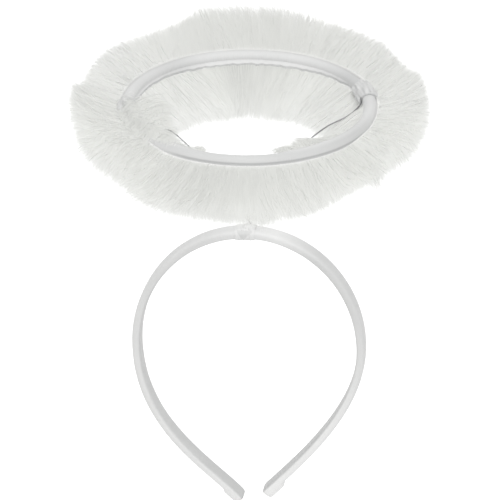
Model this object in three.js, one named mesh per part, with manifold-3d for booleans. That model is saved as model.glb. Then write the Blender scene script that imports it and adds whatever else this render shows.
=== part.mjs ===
import * as THREE from 'three'
import { mergeVertices } from 'three/addons/utils/BufferGeometryUtils.js'
import Module from 'manifold-3d'

const wasm = await Module()
wasm.setup()

// A costume halo on a headband. Lengths are in millimetres and angles in degrees.
// The origin is the inside top of the headband, +Z is up and the face looks along -Y.

// Gap between pieces that touch on the real headband
const clearance = 0.3

// Headband, measured on its centre line
const bandHalfSpan = 61.6
const bandSkew = 0.037
const bandRise = 69.5
const bandWidth = 10.3
const bandThickness = 4.5
const bandCrown = 0.5
const tipLean = 41.5
const leftLeg = { tipOut: 4, drop: 98, topHandle: 54, tipHandle: 28 }
const rightLeg = { tipOut: 10, drop: 92.8, topHandle: 36, tipHandle: 30 }
const tipFoldLength = 10
const tipFoldDepth = 1.3
const tipRoundLength = 3
const bandSteps = 60
const bandSides = 12

// Ribbon wrapped round the top of the headband
const wrapCentre = -1.4
const wrapLength = 10.4
const wrapThickness = 0.9
const moundLength = 7.6
const moundWidth = 7
const moundHeight = 2.4
const notchWidth = 7.6
const notchSkew = -1.3

// Support wires: a twisted stem, then two arms to the hoop
const wireDiameter = 0.9
const stemHeight = 24
const stemCentre = 0.8
const twistPitch = 8
const twistSlack = 0.05
const rightArmTurn = 17
const leftArmTurn = 201
const armSlack = 0.8
const hookStart = -165
const hookSweep = 300
const hookStep = 2.4
const wireSides = 5
const wireSteps = 76

// Hoop
const hoopRadius = 63.1
const hoopHeight = 76.1
const hoopTubeRadius = 3.5
const hoopGather = 0.15
const selvedgeReach = 1.2
const selvedgeThickness = 0.9
const selvedgeAngle = 195
const hoopSteps = 60
const hoopSides = 10

// Ribbon bound round the hoop beside each wire
const bindingLength = 16
const bindingThickness = 1.5
const bindingGather = 0.2
const bindingSides = 10
const bindingSteps = 7

// Fur, a fan of hair round the hoop's underside and outside
const furReach = 31
const grooveSteps = 5

// The fur round the ring: its reach outside and under the hoop, as shares of furReach, and the leans
// of its upper outer edge and of its inner edge, in degrees up from level
const furLobes = [
  { angle: 1, outside: 1.03, under: 1.13, crest: 16, inner: -140 },
  { angle: 16, outside: 1.02, under: 1.17, crest: 24, inner: -140 },
  { angle: 30, outside: 0.88, under: 1.16, crest: 30, inner: -146 },
  { angle: 46, outside: 0.97, under: 1.15, crest: 34, inner: -150 },
  { angle: 68, outside: 0.96, under: 1.13, crest: 38, inner: -154 },
  { angle: 89, outside: 1.08, under: 1.16, crest: 38, inner: -156 },
  { angle: 112, outside: 1.09, under: 1.15, crest: 38, inner: -156 },
  { angle: 134, outside: 0.84, under: 1.15, crest: 38, inner: -156 },
  { angle: 156, outside: 0.92, under: 1.12, crest: 34, inner: -156 },
  { angle: 169, outside: 0.85, under: 1.06, crest: 30, inner: -156 },
  { angle: 186, outside: 1.04, under: 1.0, crest: 26, inner: -156 },
  { angle: 204, outside: 0.97, under: 0.95, crest: 20, inner: -154 },
  { angle: 226, outside: 0.92, under: 0.86, crest: 18, inner: -156 },
  { angle: 249, outside: 1.06, under: 1.04, crest: -10, inner: -156 },
  { angle: 272, outside: 1.08, under: 1.08, crest: -14, inner: -156 },
  { angle: 292, outside: 1.07, under: 1.05, crest: -14, inner: -156 },
  { angle: 322, outside: 0.93, under: 0.9, crest: -10, inner: -152 },
  { angle: 342, outside: 0.86, under: 1.0, crest: 4, inner: -144 },
]

// Locks stand all over the fur, tip beside valley, and each tip strays a little
const lockColumns = 44
const lockRows = 6
const valleyShare = 0.85
const lockStray = 0.06
const lockSway = 0.35

// Where each arm runs from the stem to the hoop, as shares of the ring's radius and of its height
// over the stem
const armRoute = [
  { out: 0.04, rightUp: 0.08, leftUp: 0.08 },
  { out: 0.2, rightUp: 0.29, leftUp: 0.25 },
  { out: 0.45, rightUp: 0.495, leftUp: 0.49 },
  { out: 0.66, rightUp: 0.7, leftUp: 0.78 },
  { out: 0.84, rightUp: 0.82, leftUp: 0.88 },
]

const satinColour = '#e9e8e6'
const furColour = '#eeeceb'
const steelColour = '#9a9a9c'

const radians = THREE.MathUtils.degToRad
const wireRadius = wireDiameter / 2
const bandTop = bandThickness / 2

// Numbers from 0 to 1 that look random and stay the same
function scatter(index, channel) {
  const value = Math.sin(index * 12.9898 + channel * 78.233) * 43758.5453
  return value - Math.floor(value)
}

// Skins a row of equal outlines; a loop joins the last to the first, otherwise both ends are capped.
// A tufted skin turns every second face's fold, so that each raised corner stands alone.
function loft(rings, isLoop, isTufted = false) {
  const sides = rings[0].length
  const positions = rings.flat().flatMap((point) => [point.x, point.y, point.z])
  const faces = []
  const spans = isLoop ? rings.length : rings.length - 1
  for (let i = 0; i < spans; i++) {
    const here = i * sides
    const next = ((i + 1) % rings.length) * sides
    for (let j = 0; j < sides; j++) {
      const k = (j + 1) % sides
      if (isTufted && (i + j) % 2 === 0) {
        faces.push(here + j, here + k, next + j, here + k, next + k, next + j)
      } else {
        faces.push(here + j, here + k, next + k, here + j, next + k, next + j)
      }
    }
  }
  if (!isLoop) {
    const last = (rings.length - 1) * sides
    for (let j = 1; j < sides - 1; j++) {
      faces.push(0, j + 1, j, last, last + j, last + j + 1)
    }
  }
  const geometry = new THREE.BufferGeometry()
  geometry.setAttribute('position', new THREE.Float32BufferAttribute(positions, 3))
  geometry.setIndex(faces)
  return outward(geometry)
}

// Turns the faces outward if the volume they enclose comes out negative
function outward(geometry) {
  const position = geometry.getAttribute('position')
  const index = geometry.getIndex()
  const [a, b, c] = [new THREE.Vector3(), new THREE.Vector3(), new THREE.Vector3()]
  let volume = 0
  for (let i = 0; i < index.count; i += 3) {
    a.fromBufferAttribute(position, index.getX(i))
    b.fromBufferAttribute(position, index.getX(i + 1))
    c.fromBufferAttribute(position, index.getX(i + 2))
    volume += a.dot(b.cross(c))
  }
  if (volume < 0) {
    for (let i = 0; i < index.count; i += 3) {
      const held = index.getX(i + 1)
      index.setX(i + 1, index.getX(i + 2))
      index.setX(i + 2, held)
    }
  }
  return geometry
}

function toSolid(geometry) {
  const bare = geometry.clone()
  bare.deleteAttribute('normal')
  bare.deleteAttribute('uv')
  const merged = mergeVertices(bare, 1e-4)
  const mesh = new wasm.Mesh({
    numProp: 3,
    vertProperties: new Float32Array(merged.getAttribute('position').array),
    triVerts: new Uint32Array(merged.getIndex().array),
  })
  return new wasm.Manifold(mesh)
}

function toGeometry(solid) {
  const mesh = solid.getMesh()
  const geometry = new THREE.BufferGeometry()
  geometry.setAttribute('position', new THREE.BufferAttribute(new Float32Array(mesh.vertProperties), 3))
  geometry.setIndex(new THREE.BufferAttribute(new Uint32Array(mesh.triVerts), 1))
  return geometry
}

function piece(name, geometry, colour, roughness, metalness = 0) {
  const material = new THREE.MeshStandardMaterial({ color: colour, roughness, metalness })
  const mesh = new THREE.Mesh(geometry, material)
  mesh.name = name
  return mesh
}

// The headband's centre line in the XZ plane, from the left tip over the head to the right tip
function bandCurve() {
  const centreTop = bandTop
  const widest = centreTop - bandRise
  const lean = new THREE.Vector2(Math.sin(radians(tipLean)), Math.cos(radians(tipLean)))
  const left = new THREE.Vector2(-leftLeg.tipOut, widest - leftLeg.drop)
  const right = new THREE.Vector2(rightLeg.tipOut, widest - rightLeg.drop)
  const path = new THREE.Path()
  path.moveTo(left.x, left.y)
  path.bezierCurveTo(
    left.x - lean.x * leftLeg.tipHandle, left.y + lean.y * leftLeg.tipHandle,
    -bandHalfSpan, widest - leftLeg.topHandle,
    -bandHalfSpan, widest)
  path.absellipse(0, widest, bandHalfSpan, bandRise, Math.PI, 0, true)
  path.bezierCurveTo(
    bandHalfSpan, widest - rightLeg.topHandle,
    right.x + lean.x * rightLeg.tipHandle, right.y + lean.y * rightLeg.tipHandle,
    right.x, right.y)
  return path
}

const headLine = bandCurve()
const headLength = headLine.getLength()

// A place on the headband's centre line and its direction there; the strip is sprung a little askew
function bandPlace(share) {
  const centre = headLine.getPoint(share)
  const along = headLine.getTangent(share)
  centre.y += bandSkew * centre.x
  along.y += bandSkew * along.x
  return { centre, along: along.normalize() }
}

// One outline across the headband: a flat rounded strip, crowned outside and folded thick at its tips
function bandOutline(share, grow) {
  const { centre, along } = bandPlace(share)
  const out = new THREE.Vector2(-along.y, along.x)
  const fromTip = Math.min(share, 1 - share) * headLength
  const fold = tipFoldDepth * (1 - THREE.MathUtils.smoothstep(fromTip, tipFoldLength * 0.8, tipFoldLength))
  const round = 0.72 + 0.28 * Math.sqrt(THREE.MathUtils.clamp(fromTip / tipRoundLength, 0, 1))
  const halfWidth = (bandWidth / 2) * round + grow
  const halfDepth = (bandThickness / 2) * round + grow
  const outline = []
  for (let j = 0; j < bandSides; j++) {
    const turn = (j / bandSides) * 2 * Math.PI
    const [c, s] = [Math.cos(turn), Math.sin(turn)]
    const across = halfWidth * Math.sign(c) * Math.abs(c) ** 0.5
    const crown = s > 0 ? (bandCrown + fold) * (1 - Math.abs(c) ** 3) : 0
    const depth = halfDepth * Math.sign(s) * Math.abs(s) ** 0.5 + crown - (s > 0 ? bandCrown * 0.4 : 0)
    outline.push(new THREE.Vector3(centre.x + out.x * depth, across, centre.y + out.y * depth))
  }
  return outline
}

function bandStretch(from, to, steps, grow) {
  const rings = []
  for (let i = 0; i <= steps; i++) {
    rings.push(bandOutline(from + ((to - from) * i) / steps, grow))
  }
  return loft(rings, false)
}

// A share along the headband near its top for a place given by x
function shareAtTop(x) {
  let [low, high] = [0.25, 0.75]
  for (let i = 0; i < 30; i++) {
    const middle = (low + high) / 2
    if (headLine.getPoint(middle).x < x) {
      low = middle
    } else {
      high = middle
    }
  }
  return (low + high) / 2
}

// The ribbon wrap: a sleeve on the headband with a mound for the stem and a V left open in front
function stemWrap() {
  const from = shareAtTop(wrapCentre - wrapLength / 2)
  const to = shareAtTop(wrapCentre + wrapLength / 2)
  const sleeve = toSolid(bandStretch(from, to, 6, clearance + wrapThickness))
  const band = toSolid(bandStretch(from - 0.02, to + 0.02, 8, clearance))
  const top = bandThickness + bandCrown
  const mound = new THREE.SphereGeometry(1, 12, 7)
  mound.rotateX(Math.PI / 2)
  mound.scale(moundLength / 2, moundWidth / 2, moundHeight + wrapThickness)
  mound.translate(stemCentre, 0, top)
  const boreRadius = wireDiameter + clearance * 2.4
  const bore = new THREE.CylinderGeometry(boreRadius, boreRadius, stemHeight, 8)
  bore.rotateX(Math.PI / 2)
  bore.translate(stemCentre, 0, top + stemHeight / 2)
  const notch = new THREE.Shape()
  notch.moveTo(wrapCentre - notchWidth / 2, top + wrapThickness * 3)
  notch.lineTo(wrapCentre + notchSkew, -wrapThickness)
  notch.lineTo(wrapCentre + notchWidth / 2, top + wrapThickness * 3)
  const cut = new THREE.ExtrudeGeometry(notch, { depth: bandWidth, bevelEnabled: false })
  cut.rotateX(Math.PI / 2)
  cut.translate(0, -bandWidth * 0.28, 0)
  const body = sleeve.add(toSolid(mound)).subtract(band).subtract(toSolid(bore)).subtract(toSolid(cut))
  return toGeometry(body)
}

// Distance from the stem's centre to each wire's centre in the twist
const twistRadius = wireRadius + clearance / 2 + twistSlack
const stemFoot = bandThickness + bandCrown + clearance + wireRadius
const stemTop = stemFoot + stemHeight
const hookRadius = hoopTubeRadius + hoopGather + clearance + wireRadius

function facingOf(side) {
  return radians(side < 0 ? leftArmTurn : rightArmTurn)
}

// An arm's route in its own upright plane, as distance from the stem and height
function armLine(side) {
  return armRoute.map(({ out, rightUp, leftUp }) => new THREE.Vector2(
    hoopRadius * out, stemTop + (hoopHeight - stemTop) * (side < 0 ? leftUp : rightUp)))
}

// The centre line of one wire: up the twisted stem, out along the arm and once round the hoop
function wirePoints(side) {
  const points = []
  const facing = facingOf(side)
  const out = new THREE.Vector3(Math.cos(facing), Math.sin(facing), 0)
  const along = new THREE.Vector3(-out.y, out.x, 0)
  const twist = (2 * Math.PI) / twistPitch
  const twistSteps = Math.round((stemHeight / twistPitch) * 7)
  for (let i = 0; i <= twistSteps; i++) {
    const z = stemFoot + (stemHeight * i) / twistSteps
    const turn = facing + (z - stemTop) * twist
    points.push(new THREE.Vector3(
      stemCentre + twistRadius * Math.cos(turn), twistRadius * Math.sin(turn), z))
  }
  for (const { x: reach, y: height } of armLine(side)) {
    const offset = stemCentre * (1 - reach / hoopRadius)
    points.push(new THREE.Vector3(offset + out.x * reach, out.y * reach, height))
  }
  const hookSteps = 9
  for (let i = 0; i <= hookSteps; i++) {
    const turn = radians(hookStart - (hookSweep * i) / hookSteps)
    points.push(new THREE.Vector3()
      .addScaledVector(out, hoopRadius + hookRadius * Math.cos(turn))
      .addScaledVector(along, (i / hookSteps - 0.5) * hookStep)
      .setZ(hoopHeight + hookRadius * Math.sin(turn)))
  }
  return points
}

function wireLine(side) {
  const line = new THREE.CatmullRomCurve3(wirePoints(side))
  line.arcLengthDivisions = wireSteps * 10
  return line
}

function wireGeometry(side) {
  const outline = new THREE.Shape()
  for (let j = 0; j < wireSides; j++) {
    const turn = (j / wireSides) * 2 * Math.PI
    const [x, y] = [wireRadius * Math.cos(turn), wireRadius * Math.sin(turn)]
    if (j === 0) {
      outline.moveTo(x, y)
    } else {
      outline.lineTo(x, y)
    }
  }
  const settings = { steps: wireSteps, bevelEnabled: false, extrudePath: wireLine(side) }
  return new THREE.ExtrudeGeometry(outline, settings)
}

// A point beside the hoop: its place round the ring, direction in the fan and distance from the tube's centre
function besideHoop(round, lean, reach) {
  const rho = hoopRadius + reach * Math.cos(lean)
  return new THREE.Vector3(
    rho * Math.cos(round), rho * Math.sin(round), hoopHeight + reach * Math.sin(lean))
}

// The hoop's outline: a tube with the ribbon's flat sewn edge standing out inside
function hoopOutline(round, grow) {
  const outline = []
  const lip = radians(selvedgeAngle)
  const half = Math.asin((selvedgeThickness / 2 + grow) / (hoopTubeRadius + grow))
  const gather = hoopGather * (0.6 * Math.sin(round * 11) + 0.4 * Math.sin(round * 17 + 1))
  const tube = hoopTubeRadius + gather + grow
  for (let j = 0; j < hoopSides; j++) {
    const turn = lip + half + ((2 * Math.PI - 2 * half) * j) / (hoopSides - 1)
    outline.push(besideHoop(round, turn, tube))
  }
  const lipReach = tube + selvedgeReach * lipShare(round)
  const lipHalf = Math.asin((selvedgeThickness / 2 + grow) / lipReach)
  outline.push(besideHoop(round, lip - lipHalf, lipReach))
  outline.push(besideHoop(round, lip + lipHalf, lipReach))
  return outline
}

// The sewn edge runs out on either side of the places where the wires hook on
function lipShare(round) {
  const [right, left] = [1, -1].map((side) => Math.abs(
    THREE.MathUtils.euclideanModulo(round - facingOf(side) + Math.PI, 2 * Math.PI) - Math.PI))
  return 0.02 + 0.98 * THREE.MathUtils.smoothstep(Math.min(right, left), radians(19), radians(26))
}

function hoopGeometry(grow) {
  const rings = []
  for (let i = 0; i < hoopSteps; i++) {
    rings.push(hoopOutline((i / hoopSteps) * 2 * Math.PI, grow))
  }
  return loft(rings, true)
}

// Bunched ribbon round the hoop, just past the wire that hooks there
function bindingGeometry(side, grow) {
  const start = hookStep / 2 + wireDiameter + clearance * 4 - grow
  const length = bindingLength + grow * 2
  const rings = []
  for (let i = 0; i <= bindingSteps; i++) {
    const share = i / bindingSteps
    const bulge = 0.55 + 0.45 * Math.sin(Math.PI * share) + 0.22 * Math.sin(share * 19)
    const tube = hoopTubeRadius + hoopGather + clearance + bindingThickness * bulge + grow
    const ring = []
    for (let j = 0; j < bindingSides; j++) {
      const turn = (j / bindingSides) * 2 * Math.PI
      const round = facingOf(side) + (side * (start + length * share)) / hoopRadius
      ring.push(besideHoop(round, turn, tube + bindingGather * Math.sin(turn * 3 + share * 7)))
    }
    rings.push(ring)
  }
  return loft(rings, false)
}

// A row of furLobes for any place round the ring, eased between the rows beside it
function around(round) {
  const place = THREE.MathUtils.euclideanModulo(THREE.MathUtils.radToDeg(round), 360)
  const count = furLobes.length
  const index = furLobes.findLastIndex((row) => row.angle <= place)
  const here = furLobes[(index + count) % count]
  const next = furLobes[(index + 1 + count) % count]
  const width = THREE.MathUtils.euclideanModulo(next.angle - here.angle, 360)
  const passed = THREE.MathUtils.euclideanModulo(place - here.angle, 360)
  const ease = THREE.MathUtils.smoothstep(passed / width, 0, 1)
  const row = {}
  for (const column of ['outside', 'under', 'crest', 'inner']) {
    row[column] = THREE.MathUtils.lerp(here[column], next[column], ease)
  }
  return row
}

// One cross-section of the fur: a half-round fan of lock tips and valleys, then a groove for the hoop
function furOutline(column) {
  const fanSteps = lockRows * 2
  const pitch = Math.PI / lockColumns
  const groove = hoopTubeRadius + hoopGather + clearance
  const outline = []
  for (let j = 0; j <= fanSteps; j++) {
    const index = column * (fanSteps + 1) + j
    const isTip = (column + j) % 2 === 0
    const sway = isTip ? (scatter(index, 1) - 0.5) * lockSway : 0
    const lift = isTip && j > 0 && j < fanSteps ? (scatter(index, 2) - 0.5) * lockSway : 0
    const round = (column + sway) * pitch
    const stray = 1 + (scatter(index, 3) - 0.5) * 2 * lockStray
    const share = (j + lift) / fanSteps
    const { outside, under } = around(round)
    const lobe = THREE.MathUtils.lerp(outside, under, THREE.MathUtils.smoothstep(share, 0.3, 0.7))
    const reach = furReach * lobe * (isTip ? stray : valleyShare)
    outline.push(besideHoop(round, fanLean(round, share), reach))
  }
  const ridge = radians(column % 2 === 0 ? 2 : -2)
  const half = (furReach + groove) * 0.5
  const round = column * pitch
  outline.push(besideHoop(round, fanLean(round, 1) - ridge, half))
  for (let j = 0; j <= grooveSteps; j++) {
    outline.push(besideHoop(round, fanLean(round, 1 - j / grooveSteps), groove))
  }
  outline.push(besideHoop(round, fanLean(round, 0) + ridge, half))
  return outline
}

function furBody() {
  const outlines = []
  for (let column = 0; column < lockColumns * 2; column++) {
    outlines.push(furOutline(column))
  }
  return loft(outlines, true, true)
}

// A direction in the fur's fan, from its outer edge at 0 to its inner edge at 1
function fanLean(round, share) {
  const { crest, inner } = around(round)
  return radians(THREE.MathUtils.lerp(crest, inner, share))
}

// Everything that passes through the fur, each with its clearance
function furChannels() {
  const channels = []
  for (const side of [1, -1]) {
    channels.push(toSolid(bindingGeometry(side, clearance)))
    channels.push(wireSlot(side))
  }
  return channels
}

// An upright slot that lets an arm and its hook into the fur from above
function wireSlot(side) {
  const facing = facingOf(side)
  const out = new THREE.Vector3(Math.cos(facing), Math.sin(facing), 0)
  const under = wireRadius + armSlack
  const sky = hoopHeight + furReach * 1.5
  const armSlot = new THREE.Shape()
  let reached = hoopRadius * armRoute[0].out
  armSlot.moveTo(reached, sky)
  for (const point of wireLine(side).getSpacedPoints(wireSteps)) {
    const reach = point.dot(out)
    if (point.z > stemTop && reach > reached && reach < hoopRadius - hookRadius * 0.9) {
      armSlot.lineTo(reach, point.z - under)
      reached = reach
    }
  }
  armSlot.lineTo(reached, sky)
  const hookSlot = new THREE.Shape()
  hookSlot.absarc(hoopRadius, hoopHeight, hookRadius + under, radians(-180), radians(60), false)
  hookSlot.lineTo(hoopRadius + hookRadius * 0.5, sky)
  hookSlot.lineTo(hoopRadius - hookRadius - under, sky)
  const width = hookStep + wireDiameter + clearance * 2
  const [arm, hook] = [armSlot, hookSlot].map((shape) => {
    const slot = new THREE.ExtrudeGeometry(shape, { depth: width, bevelEnabled: false, curveSegments: 9 })
    slot.rotateX(Math.PI / 2)
    slot.translate(0, width / 2, 0)
    slot.rotateZ(facing)
    return toSolid(slot)
  })
  return arm.add(hook)
}

function furTrim() {
  let body = toSolid(furBody())
  for (const channel of furChannels()) {
    body = body.subtract(channel)
  }
  const parts = body.decompose().sort((a, b) => b.volume() - a.volume())
  return toGeometry(parts[0])
}

function bindingPiece(side) {
  return toGeometry(toSolid(bindingGeometry(side, 0)).subtract(toSolid(hoopGeometry(clearance))))
}

const halo = new THREE.Group()
halo.add(piece('headband', bandStretch(0, 1, bandSteps, 0), satinColour, 0.45))
halo.add(piece('stem_wrap', stemWrap(), satinColour, 0.5))
halo.add(piece('wire_left', wireGeometry(-1), steelColour, 0.35, 1))
halo.add(piece('wire_right', wireGeometry(1), steelColour, 0.35, 1))
halo.add(piece('halo_hoop', hoopGeometry(0), satinColour, 0.45))
halo.add(piece('binding_left', bindingPiece(-1), satinColour, 0.5))
halo.add(piece('binding_right', bindingPiece(1), satinColour, 0.5))
halo.add(piece('fur_trim', furTrim(), furColour, 0.95))

export default halo
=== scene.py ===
# %% [markdown]
# # A fur-trimmed costume halo
#
# The real thing is a hair band covered in white satin. A short stem of two twisted wires stands
# on its top, the wires part in a V, and their ends hook round a satin-covered hoop. A strip of
# deep white fur is sewn round the hoop and fans out below and beside it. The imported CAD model
# gives the frame that every piece here has to fit, so it is loaded before anything else.

import math

import bpy
import numpy as np
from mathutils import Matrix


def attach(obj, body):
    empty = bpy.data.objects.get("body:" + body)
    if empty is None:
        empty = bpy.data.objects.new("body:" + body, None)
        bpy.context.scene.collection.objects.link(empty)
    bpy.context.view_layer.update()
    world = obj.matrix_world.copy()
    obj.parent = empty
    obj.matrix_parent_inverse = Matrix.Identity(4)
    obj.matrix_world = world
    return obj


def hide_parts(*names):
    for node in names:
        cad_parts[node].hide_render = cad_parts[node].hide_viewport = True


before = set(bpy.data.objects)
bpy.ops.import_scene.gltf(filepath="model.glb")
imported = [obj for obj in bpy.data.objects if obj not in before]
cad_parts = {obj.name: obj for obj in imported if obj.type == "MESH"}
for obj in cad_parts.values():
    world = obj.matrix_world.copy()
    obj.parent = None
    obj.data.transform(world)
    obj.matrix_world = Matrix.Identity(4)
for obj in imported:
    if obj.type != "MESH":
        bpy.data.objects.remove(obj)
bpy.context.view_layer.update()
MM = 0.001
print("CAD nodes:", sorted(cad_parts))

# %% [markdown]
# The driving sizes are those of the CAD part, in millimetres, with Z up and the front towards
# -Y. The origin is the underside of the band at its top, where the band sits on the head.

# %% Driving sizes
BAND_WIDTH = 10.3
BAND_THICKNESS = 4.5
BAND_CROWN = 0.5
BAND_HALF_SPAN = 61.6
BAND_SKEW = 0.037
BAND_RISE = 69.5
TIP_LEAN = 41.5
LEFT_LEG = {"tip_out": -4.0, "drop": 98.0, "top_handle": 54.0, "tip_handle": 28.0}
RIGHT_LEG = {"tip_out": 10.0, "drop": 92.8, "top_handle": 36.0, "tip_handle": 30.0}
LEFT_FOLD = {"length": 12.0, "depth": 1.5}
RIGHT_FOLD = {"length": 13.5, "depth": 2.0}

STEM_CENTRE = 0.8
STEM_HEIGHT = 24.0
WIRE_RADIUS = 0.45
TWIST_PITCH = 8.0
CLEARANCE = 0.3
RIGHT_ARM_TURN = 17.0
LEFT_ARM_TURN = 201.0

HOOP_RADIUS = 63.1
HOOP_HEIGHT = 76.1
HOOP_TUBE_RADIUS = 3.5

FUR_REACH = 31.0

# %% [markdown]
# Every surface below is a grid of points: rows along the piece, columns round it. One helper
# turns such a grid into quads, with its columns joined into a tube and its first and last rows
# drawn together so that the ends are closed. A second helper puts the arrays into a mesh with
# `foreach_set`, which is much faster than adding vertices one at a time.


# %% Helpers that turn arrays into meshes
def grid_quads(rows, columns, loop_rows=False, loop_columns=True):
    """Quads of a grid of rows x columns points; a loop joins its last row or column to its first."""
    last_row = rows if loop_rows else rows - 1
    last_column = columns if loop_columns else columns - 1
    row, column = np.meshgrid(np.arange(last_row), np.arange(last_column), indexing="ij")
    next_row = (row + 1) % rows
    next_column = (column + 1) % columns
    quads = np.stack([row * columns + column, row * columns + next_column,
                      next_row * columns + next_column, next_row * columns + column], axis=-1)
    return quads.reshape(-1, 4)


def volume_sign(points, faces):
    """The sign of the volume that the faces enclose, which is negative where they point inwards."""
    a, b, c = points[faces[:, 0]], points[faces[:, 1]], points[faces[:, 2]]
    total = np.einsum("ij,ij->i", a, np.cross(b, c)).sum()
    if faces.shape[1] == 4:
        d = points[faces[:, 3]]
        total += np.einsum("ij,ij->i", a, np.cross(c, d)).sum()
    return np.sign(total)


def make_piece(name, points, face_groups, material, uv=None, tone=None):
    """A smooth mesh object from points in millimetres and arrays of triangles or quads.

    uv and tone are given for each point; they become a UV map and a number on each point."""
    mesh = bpy.data.meshes.new(name)
    loops = np.concatenate([group.ravel() for group in face_groups])
    sizes = np.concatenate([np.full(len(group), group.shape[1]) for group in face_groups])
    starts = np.concatenate([[0], np.cumsum(sizes)[:-1]])
    mesh.vertices.add(len(points))
    mesh.vertices.foreach_set("co", (points * MM).astype(np.float32).ravel())
    mesh.loops.add(len(loops))
    mesh.loops.foreach_set("vertex_index", loops.astype(np.int32))
    mesh.polygons.add(len(sizes))
    mesh.polygons.foreach_set("loop_start", starts.astype(np.int32))
    mesh.polygons.foreach_set("use_smooth", np.ones(len(sizes), bool))
    if uv is not None:
        layer = mesh.uv_layers.new(name="length_and_girth")
        layer.data.foreach_set("uv", uv[loops].astype(np.float32).ravel())
    if tone is not None:
        layer = mesh.attributes.new("tone", "FLOAT", "POINT")
        layer.data.foreach_set("value", tone.astype(np.float32))
    mesh.update(calc_edges=True)
    mesh.validate()
    mesh.materials.append(material)
    piece = bpy.data.objects.new(name, mesh)
    bpy.context.scene.collection.objects.link(piece)
    return piece


def make_tube(name, rings, material, uv_scale=(1.0, 1.0), tone=None, is_loop=False):
    """A tube from an array of rings, rows x columns x 3, closed by a centre point at either end."""
    rows, columns = rings.shape[:2]
    points = rings.reshape(-1, 3)
    quads = grid_quads(rows, columns, loop_rows=is_loop)
    groups = [quads]
    along, girth = np.meshgrid(np.arange(rows) / rows, np.arange(columns) / columns, indexing="ij")
    uv = np.stack([along * uv_scale[0], girth * uv_scale[1]], axis=-1).reshape(-1, 2)
    tones = None if tone is None else np.broadcast_to(tone, (rows, columns)).reshape(-1)
    if not is_loop:
        ends = np.stack([rings[0].mean(axis=0), rings[-1].mean(axis=0)])
        first, last = len(points), len(points) + 1
        column = np.arange(columns)
        start_cap = np.stack([np.full(columns, first), (column + 1) % columns, column], axis=-1)
        base = (rows - 1) * columns
        end_cap = np.stack([np.full(columns, last), base + column, base + (column + 1) % columns], axis=-1)
        points = np.concatenate([points, ends])
        uv = np.concatenate([uv, uv[[0, -1]]])
        groups.append(np.concatenate([start_cap, end_cap]))
        if tones is not None:
            tones = np.concatenate([tones, tones[[0, -1]]])
    if volume_sign(points, quads) < 0:
        groups = [group[:, ::-1] for group in groups]
    return make_piece(name, points, groups, material, uv, tones)


def smoothstep(low, high, value):
    """Rises from 0 at low to 1 at high with level ends."""
    share = np.clip((value - low) / (high - low), 0, 1)
    return share * share * (3 - 2 * share)


def bell(value, centre, width, power=2):
    """A bell curve: 1 at its centre, falling to 1/e at the width; a higher power squares it off."""
    return np.exp(-((value - centre) / width) ** power)


def unit(vectors):
    """The vectors, each divided by its own length."""
    return vectors / np.linalg.norm(vectors, axis=-1, keepdims=True)


# %% [markdown]
# The satin is woven so that long threads float on its face, which gives it a soft sheen and no
# visible grain at this size. A Principled shader with a little sheen does that. Two noises bump
# the surface: one is fine, for the weave, and one is broad, for the shallow puckers that a
# ribbon gets as it is drawn round a curve. They read the piece's own UV map, so they follow it.


# %% Node helpers and the satin
def new_material(name):
    """A material with node tree, shader and output, ready for more nodes."""
    material = bpy.data.materials.new(name)
    material.use_nodes = True
    return material, material.node_tree, material.node_tree.nodes["Principled BSDF"]


def add_noise(tree, scale, detail, stretch, source):
    """A noise texture on the named coordinate, stretched along its axes."""
    coordinate = tree.nodes.new("ShaderNodeTexCoord")
    mapping = tree.nodes.new("ShaderNodeMapping")
    mapping.inputs["Scale"].default_value = stretch
    noise = tree.nodes.new("ShaderNodeTexNoise")
    noise.inputs["Scale"].default_value = scale
    noise.inputs["Detail"].default_value = detail
    tree.links.new(coordinate.outputs[source], mapping.inputs["Vector"])
    tree.links.new(mapping.outputs["Vector"], noise.inputs["Vector"])
    return noise


def add_bump(tree, shader, height, strength, distance, after=None):
    """A bump from a height, laid over an earlier bump where there is one."""
    bump = tree.nodes.new("ShaderNodeBump")
    bump.inputs["Strength"].default_value = strength
    bump.inputs["Distance"].default_value = distance
    tree.links.new(height.outputs[0], bump.inputs["Height"])
    if after is not None:
        tree.links.new(after.outputs["Normal"], bump.inputs["Normal"])
    tree.links.new(bump.outputs["Normal"], shader.inputs["Normal"])
    return bump


def add_ramp(tree, value, stops):
    """A colour ramp over a value, from (place, grey or colour) stops."""
    ramp = tree.nodes.new("ShaderNodeValToRGB")
    ramp.color_ramp.elements[0].position = stops[0][0]
    ramp.color_ramp.elements[0].color = (*stops[0][1], 1)
    ramp.color_ramp.elements[1].position = stops[-1][0]
    ramp.color_ramp.elements[1].color = (*stops[-1][1], 1)
    for place, colour in stops[1:-1]:
        ramp.color_ramp.elements.new(place).color = (*colour, 1)
    tree.links.new(value, ramp.inputs["Fac"])
    return ramp


def white_satin():
    """Satin ribbon: soft sheen, a fine weave and shallow puckers, whiter or greyer by the tone on each
    point, which carries painted light and shade.
    """
    material, tree, shader = new_material("white_satin")
    shader.inputs["Roughness"].default_value = 0.55
    shader.inputs["Sheen Weight"].default_value = 0.15
    shader.inputs["Sheen Roughness"].default_value = 0.5
    shader.inputs["Specular IOR Level"].default_value = 0.2
    tone = tree.nodes.new("ShaderNodeAttribute")
    tone.attribute_name = "tone"
    ramp = add_ramp(tree, tone.outputs["Fac"], [(0.0, (0.30, 0.305, 0.303)), (1.0, (0.64, 0.64, 0.635))])
    tree.links.new(ramp.outputs["Color"], shader.inputs["Base Color"])
    weave = add_noise(tree, 90.0, 2.0, (6.0, 1.0, 1.0), "UV")
    puckers = add_noise(tree, 3.0, 3.0, (4.0, 0.6, 1.0), "UV")
    first = add_bump(tree, shader, weave, 0.15, 0.00005)
    add_bump(tree, shader, puckers, 0.35, 0.0004, first)
    return material


satin = white_satin()

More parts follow.
